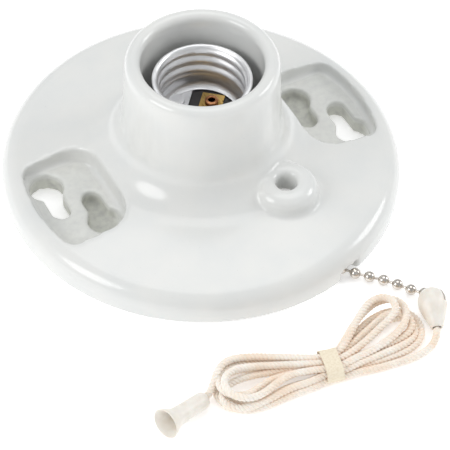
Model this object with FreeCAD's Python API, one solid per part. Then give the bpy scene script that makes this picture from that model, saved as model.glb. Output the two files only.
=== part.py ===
"""Porcelain pull-chain lampholder for an outlet box, with its bead chain and hanked cord.

Millimetres. +Z runs up the lamp socket's axis from the mounting plane, X runs through the
mounting keyholes, and the origin is the centre of the back face.
"""
import FreeCAD, Part
import math
import os

os.makedirs("parts", exist_ok=True)
V = FreeCAD.Vector
UP = V(0, 0, 1)

# ---- porcelain body -------------------------------------------------------------------
DISC_R = 57.15              # 4 1/2 in canopy
RIM_CORNER_Z = 8.6          # where the rim and the plate would meet if both were sharp
RIM_ROUND = 5.5
MOUTH_DEPTH = 7.8           # from the tower's lip down to the shell's
TOWER_R = 21.5              # at the lip
TOWER_FOOT_R = 23.2
TOWER_FOOT_Z = 13.4
TOWER_FOOT_ROUND = 12.0
LIP_ROUND = 2.3
BORE_R = 17.2
SHELF_T = 3.0               # ledge inside the tower that carries the socket base
SHELF_R = 12.5
POCKET_R = 18.5             # round pocket under the ledge, for the switch
CAVITY_R = 34.0             # wiring space in the back
CAVITY_FLAT = 26.0          # flats of the wiring space, beside the pads
RECESS_IN, RECESS_OUT, RECESS_DEPTH = 37.5, 50.0, 4.0
RECESS_RIB = 19.5           # half width of the solid band left under the pads

PAD_IN, PAD_OUT_R = 29.0, 51.6
PAD_HALF_W = 16.5
PAD_CORNER = 8.5
PAD_FLOOR = 6.0
KEY_PITCH = 88.9            # 3 1/2 in box screws, open keyholes
KNOCKOUT_PITCH = 69.85      # 2 3/4 in box screws, closed pockets
KEY_NARROW_R, KEY_WIDE_R = 2.9, 4.9
KEY_RUN, KNOCKOUT_RUN = 9.7, 8.7
KNOCKOUT_WEB = 1.5

BOSS_AT = V(12.5, -27.4, 0)
BOSS_R, BOSS_TOP_R, BOSS_TOP = 9.6, 8.8, 17.0
BOSS_ROUND = 3.8
BOSS_HOLE_R, BOSS_MOUTH_ROUND = 3.0, 1.7

# ---- lamp socket ----------------------------------------------------------------------
SOCKET_TURN = 50.0          # direction of the contact tongue in plan
BASE_T, BASE_GAP = 3.0, 0.4
SHELL_T = 0.4
SHELL_MINOR_R, SHELL_MAJOR_R = 12.3, 13.1
SHELL_HEIGHT = 14.9
SHELL_LIP_R = 13.8
THREAD_PITCH = 3.63         # seven threads to the inch
THREAD_TURNS = 3
THREAD_FROM_TOP = 2.3       # highest inner crest, below the lip
FLOOR_CUT_LEFT, FLOOR_CUT_RIGHT = -4.74, 8.6
TONGUE_W, TONGUE_T, TONGUE_OFFSET = 6.4, 0.5, 1.6
TONGUE_END, EYELET_ALONG = 8.6, 5.46
TONGUE_LIFT = 0.6
CONTACT_RISE, CONTACT_LOW, CONTACT_HIGH = 2.6, 1.8, -2.4
CONTACT_TIP = -5.2
EYELET_TUBE_R, EYELET_BORE_R, EYELET_FLANGE_R = 1.2, 0.85, 2.0
EYELET_GAP, FLANGE_T = 0.4, 0.3
RIVET_R, RIVET_HEAD_R, RIVET_HEAD_T = 1.3, 2.2, 0.6
RIVET_OFFSET, RIVET_ALONG = -8.3, 4.2
HOLE_GAP = 0.05

# ---- switch ---------------------------------------------------------------------------
HOUSING_GAP = 0.4           # around the housing in its pocket
HOUSING_WALL = 4.1
ROOF_T = 2.3
SPIGOT_GAP = 0.3
COVER_T = 1.2
SHAFT_R, RUNNING_GAP = 1.5, 0.05
SHAFT_IN_ROOF = 1.6
SHAFT_HEAD_R, SHAFT_HEAD_T, SHAFT_HEAD_GAP = 2.6, 0.7, 0.35
RATCHET_TEETH = 12
RATCHET_R, RATCHET_ROOT_R = 6.5, 5.4
RATCHET_T = 0.9
COLLAR_T = 0.2
DRUM_R, DRUM_T, DRUM_GAP = 5.3, 1.9, 0.45
LOBE_R, LOBE_COUNT, LOBE_ARC, LOBE_INSET = 6.0, 6, 30.0, 0.2
SWING = 30.0                # degrees the lever turns on one pull
SLEEVE_R = 2.6
LEVER_GAP, LEVER_T, LEVER_W, LEVER_HUB_R = 0.35, 1.0, 5.0, 4.2
TAB_W, TAB_T, TAB_LOW, SLOT_HALF, SLOT_OVER = 5.6, 1.0, 0.4, 1.25, 0.45
CARRIER_R, CARRIER_T, CARRIER_GAP = 4.6, 0.6, 0.15
PAWL_R, PAWL_T, PAWL_GAP = 8.2, 0.45, 0.3
SPRING_WIRE_R, SPRING_COIL_R, SPRING_TURNS, SPRING_PITCH = 0.35, 4.0, 2.0, 0.8
SPRING_GAP = 0.3
SCREW_ANGLES = (70.0, 250.0)
ASSEMBLY_AT_R, ASSEMBLY_R, ASSEMBLY_HEAD_R, ASSEMBLY_HEAD_T = 9.8, 1.4, 2.8, 2.0
ASSEMBLY_CLEAR = 0.2
NUT_AF, NUT_T = 5.5, 1.8

# ---- terminals ------------------------------------------------------------------------
TERMINAL_X = 12.0
TERMINAL_SIZE, TERMINAL_T, TERMINAL_GAP = 9.0, 1.0, 0.4
STRAP_W = 5.0
BINDING_R, BINDING_HEAD_R, BINDING_HEAD_T = 1.75, 3.75, 2.4
BINDING_BACKED_OUT = 0.4
BINDING_LENGTH = 4.0
BINDING_WELL_R = 2.3
LEAF_T, LEAF_GAP, LEAF_OVER, LEAF_H, LEAF_END = 0.4, 0.35, 0.35, 1.8, -2.5

# ---- bead chain -----------------------------------------------------------------------
BEAD_R, BEAD_PITCH = 1.6, 4.1
LINK_R = 0.45
CHAIN_HEADING = -54.4       # direction of the chain inside the body and of its pull
CHAIN_AT_RIM = V(20.4, -55.9, BEAD_R)
BEADS_INSIDE = 14           # from the lever to the rim
COUPLING_LENGTH = 6.8       # long wire link that the lever's tab hooks behind
BEADS_OUTSIDE = (V(23.5, -58.5, BEAD_R), V(26.3, -61.4, BEAD_R), V(28.8, -64.5, BEAD_R),
                 V(30.9, -67.8, BEAD_R), V(32.9, -70.6, 2.4))
NOTCH_SIDE_GAP, NOTCH_TOP_GAP = 1.6, 0.7   # around the beads where they pass under the rim

# ---- cord -----------------------------------------------------------------------------
CORD_D = 2.2
BELL_EXIT = V(29.9, -82.6, 1.75)
BELL_AXIS = V(-0.33, -0.91, -0.2)
BELL_LENGTH, BELL_R, BELL_NECK_R, BELL_WALL = 13.0, 4.1, 1.7, 0.9
BELL_SLIT_W, BELL_SLIT_LENGTH = 1.2, 5.0
LEAD_ROUTE = (BELL_EXIT, V(28.4, -84.9, 1.3), V(26.0, -86.8, 1.15), V(22.9, -87.9, 1.1),
              V(19.0, -88.2, 1.15), V(13.5, -87.6, 1.1), V(8.0, -86.9, 1.15), V(3.2, -85.7, 1.2))
HANK_BOTTOM, HANK_TOP, HANK_ROUND = 0.3, 5.4, 1.2
HANK_OUTLINE = ((27.2, -76.0, 2), (26.4, -81.0, 3), (24.6, -85.0, 2), (11.3, -85.0, 6), (-3.6, -86.0, 6),
                (-14.0, -84.6, 6), (-31.6, -83.9, 5), (-35.9, -76.5, 4), (-32.4, -66.2, 5),
                (-20.0, -66.2, 5), (-9.0, -73.2, 6), (-1.9, -76.8, 3), (6.0, -73.6, 6),
                (15.5, -67.6, 6), (25.6, -67.2, 4))
TIE_AT, TIE_TURN = V(-2.8, -81.3, 0), -12.0
TIE_W, TIE_SPAN, TIE_HEIGHT, TIE_T, TIE_ROUND = 4.6, 10.8, 6.0, 0.3, 2.2
KNOB_NECK = V(-38.1, -75.9, 1.95)
KNOB_AXIS = V(-13.4, -4.3, 2.4)
KNOB_LENGTH, KNOB_NECK_R, KNOB_R, KNOB_FLARE_R = 15.0, 1.8, 2.7, 4.4
KNOB_WALL, KNOB_FLOOR = 0.7, 4.0
KNOT_R = 1.85
TAIL_START = V(-33.4, -73.4, 1.9)
TAIL_LEAD_IN = 1.4


# ---- helpers --------------------------------------------------------------------------
def save(name, shape):
    """Write one node's solids."""
    shape = shape.removeSplitter() if len(shape.Solids) == 1 else shape
    shape.exportStep("parts/" + name + ".step")
    print(name, "solids", len(shape.Solids), "volume", round(shape.Volume, 2), shape.isValid())


def disc(radius, low, high, x=0.0, y=0.0):
    return Part.makeCylinder(radius, high - low, V(x, y, low), UP)


def block(x0, x1, y0, y1, z0, z1):
    return Part.makeBox(x1 - x0, y1 - y0, z1 - z0, V(x0, y0, z0))


def ring(outer, inner, low, high, x=0.0, y=0.0):
    return disc(outer, low, high, x, y).cut(disc(inner, low, high, x, y))


def turned_by(shape, angle):
    """A copy turned about the socket's axis."""
    copy = shape.copy()
    copy.rotate(V(0, 0, 0), UP, angle)
    return copy


def join(shapes):
    return shapes[0].fuse(list(shapes[1:])) if len(shapes) > 1 else shapes[0]


def rounded_wire(corners, to_point):
    """A closed outline of straight edges whose corners (a, b, radius) are rounded by tangent arcs."""
    points = [V(a, b, 0) for a, b, _ in corners]
    entries, middles, exits = [], [], []
    for i, corner in enumerate(points):
        back = (points[i - 1] - corner).normalize()
        ahead = (points[(i + 1) % len(points)] - corner).normalize()
        radius = corners[i][2]
        if radius == 0:
            entries.append(corner)
            middles.append(None)
            exits.append(corner)
            continue
        half = back.getAngle(ahead) / 2
        reach = radius / math.tan(half)
        centre = corner + (back + ahead).normalize() * (radius / math.sin(half))
        entries.append(corner + back * reach)
        middles.append(centre + (corner - centre).normalize() * radius)
        exits.append(corner + ahead * reach)
    edges = []
    for i, middle in enumerate(middles):
        if middle is not None:
            edges.append(Part.Arc(to_point(entries[i]), to_point(middle), to_point(exits[i])).toShape())
        start, end = to_point(exits[i]), to_point(entries[(i + 1) % len(points)])
        if start.distanceToPoint(end) > 1e-4:
            edges.append(Part.LineSegment(start, end).toShape())
    return Part.Wire(edges)


def revolve(corners):
    """Turn a section of (radius, height, corner round) about the Z axis."""
    wire = rounded_wire(corners, lambda p: V(p.x, 0, p.y))
    return Part.Face(wire).revolve(V(0, 0, 0), UP, 360)


def extrude(corners, low, high):
    """Raise a plan outline of (x, y, corner round)."""
    wire = rounded_wire(corners, lambda p: V(p.x, p.y, low))
    return Part.Face(wire).extrude(V(0, 0, high - low))


def stand_along(shape, start, axis):
    """Move a shape made along +Z so that it starts at a point and runs along an axis."""
    copy = shape.copy()
    copy.Placement = FreeCAD.Placement(start, FreeCAD.Rotation(UP, axis))
    return copy


def tube(route, diameter):
    """A round cord of straight runs joined by tangent arcs, each as large as its runs allow."""
    edges, at, length = [], route[0], 0.0
    for before, corner, after in zip(route, route[1:], route[2:]):
        back, ahead = (before - corner), (after - corner)
        shorter = min(back.Length, ahead.Length)
        back.normalize()
        ahead.normalize()
        half_turn = (math.pi - back.getAngle(ahead)) / 2
        reach = 0.45 * shorter
        radius = reach / math.tan(half_turn)
        print("  cord bend radius", round(radius, 1))
        centre = corner + (back + ahead).normalize() * (radius / math.cos(half_turn))
        enter, leave = corner + back * reach, corner + ahead * reach
        middle = centre + (corner - centre).normalize() * radius
        edges.append(Part.LineSegment(at, enter).toShape())
        edges.append(Part.Arc(enter, middle, leave).toShape())
        at = leave
    edges.append(Part.LineSegment(at, route[-1]).toShape())
    path = Part.Wire(edges)
    section = Part.Wire(Part.makeCircle(diameter / 2, route[0], route[1] - route[0]))
    shape = path.makePipeShell([section], True, True)
    print("  cord length", round(path.Length, 2), "volume", round(shape.Volume, 2),
          "expected", round(math.pi * diameter ** 2 / 4 * path.Length, 2))
    return shape


# ---- heights, stacked up from the back face ----------------------------------------------
lever_z = 2 * BEAD_R + LEVER_GAP
lever_top = lever_z + LEVER_T
spring_low = lever_top + SPRING_GAP
cover_low = spring_low + 2 * SPRING_WIRE_R + SPRING_PITCH * SPRING_TURNS + SPRING_GAP
housing_low = cover_low + COVER_T
terminal_top = housing_low + TERMINAL_T
cavity_top = terminal_top
carrier_z = housing_low + CARRIER_GAP
ratchet_z = carrier_z + CARRIER_T + PAWL_T + PAWL_GAP
ratchet_top = ratchet_z + RATCHET_T
drum_z = ratchet_top + COLLAR_T
leaf_z = ratchet_top + LEAF_OVER
housing_ceiling = drum_z + DRUM_T + DRUM_GAP + FLANGE_T + 2 * LEAF_T
housing_top = housing_ceiling + ROOF_T
shaft_low = lever_z - SHAFT_HEAD_GAP - SHAFT_HEAD_T
shaft_top = housing_ceiling + SHAFT_IN_ROOF
shelf_top = housing_top + SHELF_T
shell_floor = shelf_top + BASE_T
shell_top = shell_floor + SHELL_HEIGHT
thread_top = shell_top - THREAD_FROM_TOP
tower_top = shell_top + MOUTH_DEPTH

# ---- places that several pieces share ---------------------------------------------------
housing_r = POCKET_R - HOUSING_GAP
housing_cavity_r = housing_r - HOUSING_WALL
spigot_r = SHELF_R - SPIGOT_GAP
leaf_x = LOBE_R + LEAF_GAP
terminal_half = TERMINAL_SIZE / 2
terminal_y = math.sqrt((CAVITY_R - TERMINAL_GAP) ** 2 - (TERMINAL_X + terminal_half) ** 2) - terminal_half
heading = V(math.cos(math.radians(CHAIN_HEADING)), math.sin(math.radians(CHAIN_HEADING)), 0)
chain_foot = CHAIN_AT_RIM - heading * CHAIN_AT_RIM.dot(heading)    # nearest the switch's axis
lever_mid = math.degrees(math.atan2(chain_foot.y, chain_foot.x))
chain_reach = math.hypot(chain_foot.x, chain_foot.y)
half_swing = math.radians(SWING / 2)
lever_r = chain_reach * (1 + 1 / math.cos(half_swing)) / 2
pull_travel = 2 * lever_r * math.sin(half_swing)
along = V(math.cos(math.radians(SOCKET_TURN)), math.sin(math.radians(SOCKET_TURN)), 0)
across = V(along.y, -along.x, 0)
print("pull travel", round(pull_travel, 3), "ratio rad/m", round(math.radians(SWING) / pull_travel * 1000, 2))
print("heading", heading, "lever mid angle", round(lever_mid, 2), "lever radius", round(lever_r, 3))


def in_socket(distance_along, distance_across, z=0.0):
    return along * distance_along + across * distance_across + V(0, 0, z)


eyelet_at = in_socket(EYELET_ALONG, TONGUE_OFFSET)
rivet_spots = [in_socket(side * RIVET_ALONG, RIVET_OFFSET) for side in (1, -1)]
assembly_spots = [turned_by(Part.Vertex(ASSEMBLY_AT_R, 0, 0), a).Point for a in SCREW_ANGLES]
print("tower top", round(tower_top, 3), "terminal y", round(terminal_y, 3), "cavity top", round(cavity_top, 3))
print("tongue hinge at", in_socket(EYELET_ALONG, TONGUE_OFFSET, shell_floor + TONGUE_LIFT), "axis", across)


# ---- porcelain body -------------------------------------------------------------------
def keyhole(x, wide_y, low, high):
    """A slot that runs across from its narrow end at (x, 0) to its wide end at (x, wide_y)."""
    straight = block(x - KEY_NARROW_R, x + KEY_NARROW_R, min(0, wide_y), max(0, wide_y), low, high)
    return join([straight, disc(KEY_NARROW_R, low, high, x, 0), disc(KEY_WIDE_R, low, high, x, wide_y)])


def pad_recess():
    """The sunk pad on +X, with a curved outer side."""
    outline = ((PAD_IN, -PAD_HALF_W, PAD_CORNER), (DISC_R, -PAD_HALF_W, 0),
               (DISC_R, PAD_HALF_W, 0), (PAD_IN, PAD_HALF_W, PAD_CORNER))
    curved = extrude(outline, PAD_FLOOR, tower_top).common(disc(PAD_OUT_R, PAD_FLOOR, tower_top))
    corners = [e for e in curved.Edges if e.Vertexes[0].Z != e.Vertexes[-1].Z and e.Vertexes[0].X > 40]
    return curved.makeFillet(PAD_CORNER / 2, corners)


def make_porcelain():
    body = revolve(((BORE_R, 0, 0), (BORE_R, tower_top, LIP_ROUND * 0.85), (TOWER_R, tower_top, LIP_ROUND * 0.98),
                    (TOWER_FOOT_R, TOWER_FOOT_Z, TOWER_FOOT_ROUND), (DISC_R, RIM_CORNER_Z, RIM_ROUND),
                    (DISC_R, 0, 0.8)))
    boss = revolve(((BOSS_HOLE_R, cavity_top, 0), (BOSS_HOLE_R, BOSS_TOP, BOSS_MOUTH_ROUND),
                    (BOSS_TOP_R, BOSS_TOP, BOSS_ROUND), (BOSS_R, cavity_top, 0)))
    boss.translate(BOSS_AT)
    ledge = ring(BORE_R + 1, SHELF_R, housing_top, shelf_top)
    cavity = disc(CAVITY_R, -1, cavity_top).common(
        block(-CAVITY_FLAT, CAVITY_FLAT, -CAVITY_R, CAVITY_R, -1, cavity_top))
    recess = ring(RECESS_OUT, RECESS_IN, -1, RECESS_DEPTH).cut(
        block(-DISC_R, DISC_R, -RECESS_RIB, RECESS_RIB, -1, RECESS_DEPTH))
    cuts = [cavity, disc(POCKET_R, -1, housing_top), recess,
            disc(BOSS_HOLE_R, -1, BOSS_TOP + 1, BOSS_AT.x, BOSS_AT.y)]
    for side in (0, 180):
        wide_open = keyhole(KEY_PITCH / 2, -KEY_RUN, -1, tower_top)
        closed = keyhole(KNOCKOUT_PITCH / 2, KNOCKOUT_RUN, KNOCKOUT_WEB, tower_top)
        cuts += [turned_by(s, side) for s in (pad_recess(), wide_open, closed)]
    half = BEAD_R + NOTCH_SIDE_GAP
    notch = block(0, DISC_R + 5, -half, half, -1, 2 * BEAD_R + NOTCH_TOP_GAP)
    notch.rotate(V(0, 0, 0), UP, CHAIN_HEADING)
    notch.translate(V(chain_foot.x, chain_foot.y, 0))
    for x in (-TERMINAL_X, TERMINAL_X):
        cuts.append(disc(BINDING_WELL_R, 0, terminal_top + BINDING_LENGTH - TERMINAL_T, x, terminal_y))
    return body.fuse([boss, ledge]).cut(cuts + [notch])


# ---- lamp socket ----------------------------------------------------------------------
def make_shell():
    """Drawn aluminium screw shell: rolled lip, rounded threads, plain foot and half a floor."""
    inner, outer = [], []
    foot = thread_top - THREAD_PITCH * (THREAD_TURNS - 1) - THREAD_PITCH / 2
    zigzag = [(SHELL_MINOR_R, foot, 0.5)]
    for turn in range(THREAD_TURNS):
        crest = foot + THREAD_PITCH * (turn + 0.5)
        zigzag += [(SHELL_MAJOR_R, crest - THREAD_PITCH * 0.32, 0.7), (SHELL_MINOR_R, crest, 0.7)]
    zigzag.append((SHELL_MAJOR_R, thread_top + THREAD_PITCH * 0.36, 0.7))
    for radius, z, round_r in zigzag:
        inner.append((radius, z, round_r))
        outer.append((radius + SHELL_T, z, round_r))
    lip = [(SHELL_MAJOR_R, shell_top, 0), (SHELL_LIP_R, shell_top, 0.2),
           (SHELL_LIP_R, shell_top - 2 * SHELL_T, 0.2), (SHELL_MAJOR_R + SHELL_T, shell_top - 2 * SHELL_T, 0)]
    outline = [(SHELL_MINOR_R, shell_floor, 0)] + inner + lip + outer[::-1]
    outline.append((SHELL_MINOR_R + SHELL_T, shell_floor, 0))
    wall = revolve(outline)
    floor = disc(SHELL_MINOR_R + SHELL_T / 2, shell_floor, shell_floor + SHELL_T)
    window = block(-20, 20, -FLOOR_CUT_RIGHT, -FLOOR_CUT_LEFT, 0, 50)
    floor = floor.cut(turned_by(window, SOCKET_TURN))
    for spot in rivet_spots:
        floor = floor.cut(disc(RIVET_R + HOLE_GAP, 0, 50, spot.x, spot.y))
    return wall.fuse(floor)


def socket_holes(low, high):
    """Clearance for the rivets and the eyelet through the insulating pieces."""
    holes = [disc(RIVET_R + HOLE_GAP, low, high, s.x, s.y) for s in rivet_spots]
    return holes + [disc(EYELET_TUBE_R + HOLE_GAP, low, high, eyelet_at.x, eyelet_at.y)]


def hexagon(across_flats, low, high, spot):
    corner = across_flats / math.sqrt(3)
    points = [V(spot.x + corner * math.cos(math.radians(60 * i)),
                spot.y + corner * math.sin(math.radians(60 * i)), low) for i in range(6)]
    return Part.Face(Part.makePolygon(points + points[:1])).extrude(V(0, 0, high - low))


def make_socket_base():
    base = disc(BORE_R - BASE_GAP, shelf_top, shell_floor).cut(socket_holes(0, 50))
    wells = [hexagon(NUT_AF + 0.1, shelf_top, shelf_top + NUT_T + 0.1, s) for s in assembly_spots]
    return base.cut(wells)


def make_tongue():
    """Sprung brass strip: flat under the eyelet, then bent up to meet the lamp's tip."""
    low, high = shell_floor + TONGUE_LIFT, shell_floor + TONGUE_LIFT + CONTACT_RISE
    thick = TONGUE_T
    side = ((TONGUE_END, low, 0), (CONTACT_LOW, low, 1.0), (CONTACT_HIGH, high, 1.0), (CONTACT_TIP, high, 0),
            (CONTACT_TIP, high + thick, 0), (CONTACT_HIGH - 0.2, high + thick, 1.5),
            (CONTACT_LOW - 0.2, low + thick, 0.6), (TONGUE_END, low + thick, 0))
    wire = rounded_wire(side, lambda p: V(p.x, 0, p.y))
    strip = Part.Face(wire).extrude(V(0, TONGUE_W, 0))
    strip.translate(V(0, -TONGUE_W / 2 - TONGUE_OFFSET, 0))
    strip = turned_by(strip, SOCKET_TURN)
    return strip.cut(disc(EYELET_TUBE_R + EYELET_GAP - 0.1, 0, 50, eyelet_at.x, eyelet_at.y))


def make_eyelet():
    """Hollow rivet that holds the tongue and carries the lamp circuit down to the switch."""
    x, y = eyelet_at.x, eyelet_at.y
    top = shell_floor + TONGUE_LIFT + TONGUE_T + EYELET_GAP
    foot = housing_ceiling - 2 * LEAF_T - FLANGE_T
    tube_part = disc(EYELET_TUBE_R, foot, top + 2 * FLANGE_T, x, y)
    flange = disc(EYELET_FLANGE_R, top, top + 2 * FLANGE_T, x, y)
    clinch = disc(EYELET_FLANGE_R, foot, foot + FLANGE_T, x, y)
    return join([tube_part, flange, clinch]).cut(disc(EYELET_BORE_R, 0, 60, x, y))


def make_shell_rivets():
    rivets = []
    for spot in rivet_spots:
        head_z = shell_floor + SHELL_T
        foot = housing_ceiling - LEAF_T - FLANGE_T
        pieces = [disc(RIVET_R, foot, head_z, spot.x, spot.y),
                  disc(RIVET_HEAD_R, head_z, head_z + RIVET_HEAD_T, spot.x, spot.y),
                  disc(RIVET_HEAD_R, foot, foot + FLANGE_T, spot.x, spot.y)]
        rivets.append(join(pieces))
    return Part.makeCompound(rivets)


# ---- switch ---------------------------------------------------------------------------
def make_housing():
    cup = disc(housing_r, housing_low, housing_top).fuse(disc(spigot_r, housing_top, shelf_top))
    cuts = [disc(housing_cavity_r, 0, housing_ceiling),
            disc(SHAFT_R + RUNNING_GAP, 0, shaft_top + 0.3)] + socket_holes(0, 50)
    cuts += [disc(ASSEMBLY_R + ASSEMBLY_CLEAR, 0, 50, s.x, s.y) for s in assembly_spots]
    for name in ("line", "neutral"):
        cuts.append(terminal_strap(name, 0.05))
    return cup.cut(cuts + terminal_room())


def make_cover():
    cuts = [disc(SLEEVE_R + RUNNING_GAP, 0, 50)]
    cuts += [disc(ASSEMBLY_R + ASSEMBLY_CLEAR, 0, 50, s.x, s.y) for s in assembly_spots]
    return disc(housing_r, cover_low, housing_low).cut(cuts + terminal_room())


def terminal_room():
    """Room that the housing and its cover leave the terminals and their screws."""
    plate_half, head_r = terminal_half + TERMINAL_GAP, BINDING_HEAD_R + TERMINAL_GAP
    room = []
    for x in (-TERMINAL_X, TERMINAL_X):
        room.append(block(x - plate_half, x + plate_half, terminal_y - plate_half, terminal_y + plate_half,
                          housing_low, terminal_top + TERMINAL_GAP))
        room.append(disc(head_r, 0, housing_low, x, terminal_y))
        room.append(disc(BINDING_WELL_R, 0, terminal_top + BINDING_LENGTH, x, terminal_y))
    return room


def make_assembly_screws():
    screws = []
    for spot in assembly_spots:
        under = cover_low
        shank = disc(ASSEMBLY_R, under, shelf_top + NUT_T, spot.x, spot.y)
        head = disc(ASSEMBLY_HEAD_R, under - ASSEMBLY_HEAD_T, under, spot.x, spot.y)
        slot = block(spot.x - ASSEMBLY_HEAD_R, spot.x + ASSEMBLY_HEAD_R, spot.y - 0.4, spot.y + 0.4,
                     under - ASSEMBLY_HEAD_T, under - ASSEMBLY_HEAD_T / 2)
        screws.append(shank.fuse(head).cut(slot))
    return Part.makeCompound(screws)


def make_assembly_nuts():
    nuts = []
    for spot in assembly_spots:
        nut = hexagon(NUT_AF, shelf_top, shelf_top + NUT_T, spot)
        nuts.append(nut.cut(disc(ASSEMBLY_R, 0, 50, spot.x, spot.y)))
    return Part.makeCompound(nuts)


def make_shaft():
    shaft = disc(SHAFT_R, shaft_low, shaft_top)
    return shaft.fuse(disc(SHAFT_HEAD_R, shaft_low, shaft_low + SHAFT_HEAD_T))


def make_ratchet():
    points = []
    for tooth in range(RATCHET_TEETH):
        start = 2 * math.pi * tooth / RATCHET_TEETH
        end = start + 2 * math.pi / RATCHET_TEETH * 0.94
        points += [V(RATCHET_R * math.cos(start), RATCHET_R * math.sin(start), ratchet_z),
                   V(RATCHET_ROOT_R * math.cos(end), RATCHET_ROOT_R * math.sin(end), ratchet_z)]
    wheel = Part.Face(Part.makePolygon(points + points[:1])).extrude(V(0, 0, RATCHET_T))
    return wheel.cut(disc(SHAFT_R, 0, 50))


def make_drum():
    collar = disc(DRUM_R - 2, ratchet_top, drum_z)
    return disc(DRUM_R, drum_z, drum_z + DRUM_T).fuse(collar).cut(disc(SHAFT_R, 0, 50))


def make_rotor_contact():
    band = ring(DRUM_R + 0.3, DRUM_R, drum_z + LOBE_INSET, drum_z + DRUM_T - LOBE_INSET)
    lobes = []
    for i in range(LOBE_COUNT):
        lobe = Part.makeCylinder(LOBE_R, DRUM_T - 2 * LOBE_INSET, V(0, 0, drum_z + LOBE_INSET), UP, LOBE_ARC)
        lobes.append(turned_by(lobe.cut(disc(DRUM_R, 0, 50)), i * 360 / LOBE_COUNT - LOBE_ARC / 2))
    return join([band] + lobes)


def make_lever():
    """Stamped lever with a hooked tab, its sleeve through the cover and the pawl's carrier."""
    top = lever_top
    arm = block(0, lever_r + TAB_W / 2, -LEVER_W / 2, LEVER_W / 2, lever_z, top)
    tab = block(lever_r - TAB_W / 2, lever_r + TAB_W / 2, -TAB_T / 2, TAB_T / 2, TAB_LOW, lever_z)
    slot = block(lever_r - SLOT_HALF, lever_r + SLOT_HALF, -TAB_T, TAB_T, 0, BEAD_R + LINK_R + SLOT_OVER)
    hub = [disc(LEVER_HUB_R, lever_z, top), disc(SLEEVE_R, top, carrier_z + CARRIER_T),
           disc(CARRIER_R, carrier_z, carrier_z + CARRIER_T)]
    lever = join([arm, tab.cut(slot)] + hub).cut(disc(SHAFT_R + RUNNING_GAP, 0, 50))
    return turned_by(lever, lever_mid - SWING / 2)


def make_pawl():
    """Pawl arm on the carrier, standing just outside the ratchet."""
    top = ratchet_top
    arm = block(CARRIER_R - 2.4, PAWL_R, -1.4, 1.4, carrier_z + CARRIER_T, ratchet_z - PAWL_GAP)
    nose = block(RATCHET_R + PAWL_GAP, PAWL_R, -1.4, 1.4, ratchet_z - PAWL_GAP, top)
    return turned_by(arm.fuse(nose), lever_mid - SWING / 2)


def make_return_spring():
    helix = Part.makeHelix(SPRING_PITCH, SPRING_PITCH * SPRING_TURNS, SPRING_COIL_R)
    low = spring_low + SPRING_WIRE_R
    helix.translate(V(0, 0, low))
    section = Part.Wire(Part.makeCircle(SPRING_WIRE_R, V(SPRING_COIL_R, 0, low), V(0, 1, 0)))
    return Part.Wire(helix).makePipeShell([section], True, True)


# ---- terminals ------------------------------------------------------------------------
def terminal_strap(name, gap=0.0):
    """The strip from a terminal plate through the housing's wall, radial in plan."""
    side = 1 if name == "line" else -1
    distance = math.hypot(TERMINAL_X, terminal_y)
    angle = math.degrees(math.atan2(terminal_y, side * TERMINAL_X))
    inner = housing_cavity_r - (1.2 if name == "line" else 0.6)
    strip = block(inner, distance, -STRAP_W / 2 - gap, STRAP_W / 2 + gap, housing_low, terminal_top + gap)
    return turned_by(strip, angle)


def terminal(name):
    side = 1 if name == "line" else -1
    middle = side * TERMINAL_X
    plate = block(middle - terminal_half, middle + terminal_half, terminal_y - terminal_half,
                  terminal_y + terminal_half, housing_low, terminal_top)
    pieces = [plate, terminal_strap(name)]
    hole = disc(BINDING_R + HOLE_GAP, 0, 50, middle, terminal_y)
    return join(pieces).cut(hole)


def make_neutral_strap():
    """Brass strip from the shell's rivet, out and down inside the housing to the terminal."""
    spot = rivet_spots[0]
    rise = housing_ceiling - LEAF_T
    outer = housing_cavity_r - 0.1
    top = block(outer - 7.5, outer, -STRAP_W / 2, STRAP_W / 2, rise, housing_ceiling)
    down = block(outer - LEAF_T, outer, -STRAP_W / 2, STRAP_W / 2, terminal_top, housing_ceiling)
    angle = math.degrees(math.atan2(terminal_y, -TERMINAL_X))
    strap = turned_by(top.fuse(down), angle)
    strap = strap.common(disc(housing_cavity_r - 0.05, 0, 50))
    return strap.cut(disc(RIVET_R, 0, 50, spot.x, spot.y))


def make_line_leaf():
    """Brush from the line strap to the rotor."""
    foot_y = terminal_y * (housing_cavity_r - 1.6) / math.hypot(TERMINAL_X, terminal_y)
    leaf = block(leaf_x, leaf_x + LEAF_T, LEAF_END, foot_y, leaf_z, leaf_z + LEAF_H)
    drop = block(leaf_x, leaf_x + LEAF_T, foot_y - 1.8, foot_y, terminal_top, leaf_z)
    return leaf.fuse(drop)


def make_lamp_leaf():
    """Brush from the eyelet's foot, over the shaft, down to the rotor's other side."""
    z = housing_ceiling - 2 * LEAF_T
    y0, y1 = SHAFT_R + 0.4, EYELET_TUBE_R + eyelet_at.y + 0.4
    strip = block(-leaf_x - LEAF_T, eyelet_at.x + 1.9, y0, y1, z, z + LEAF_T)
    spacer = disc(EYELET_FLANGE_R, z + LEAF_T, housing_ceiling, eyelet_at.x, eyelet_at.y)
    drop = block(-leaf_x - LEAF_T, -leaf_x, LEAF_END, y1, leaf_z, leaf_z + LEAF_H)
    riser = block(-leaf_x - LEAF_T, -leaf_x, y0, y1, leaf_z, z)
    return join([strip, spacer, drop, riser]).cut(disc(EYELET_TUBE_R, 0, 50, eyelet_at.x, eyelet_at.y))


def make_binding_screw(x):
    head_top = housing_low - BINDING_BACKED_OUT
    shank = disc(BINDING_R, head_top, head_top + BINDING_LENGTH, x, terminal_y)
    head = disc(BINDING_HEAD_R, head_top - BINDING_HEAD_T, head_top, x, terminal_y)
    slot = block(x - BINDING_HEAD_R, x + BINDING_HEAD_R, terminal_y - 0.5, terminal_y + 0.5,
                 head_top - BINDING_HEAD_T, head_top - BINDING_HEAD_T / 2)
    return shank.fuse(head).cut(slot)


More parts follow.
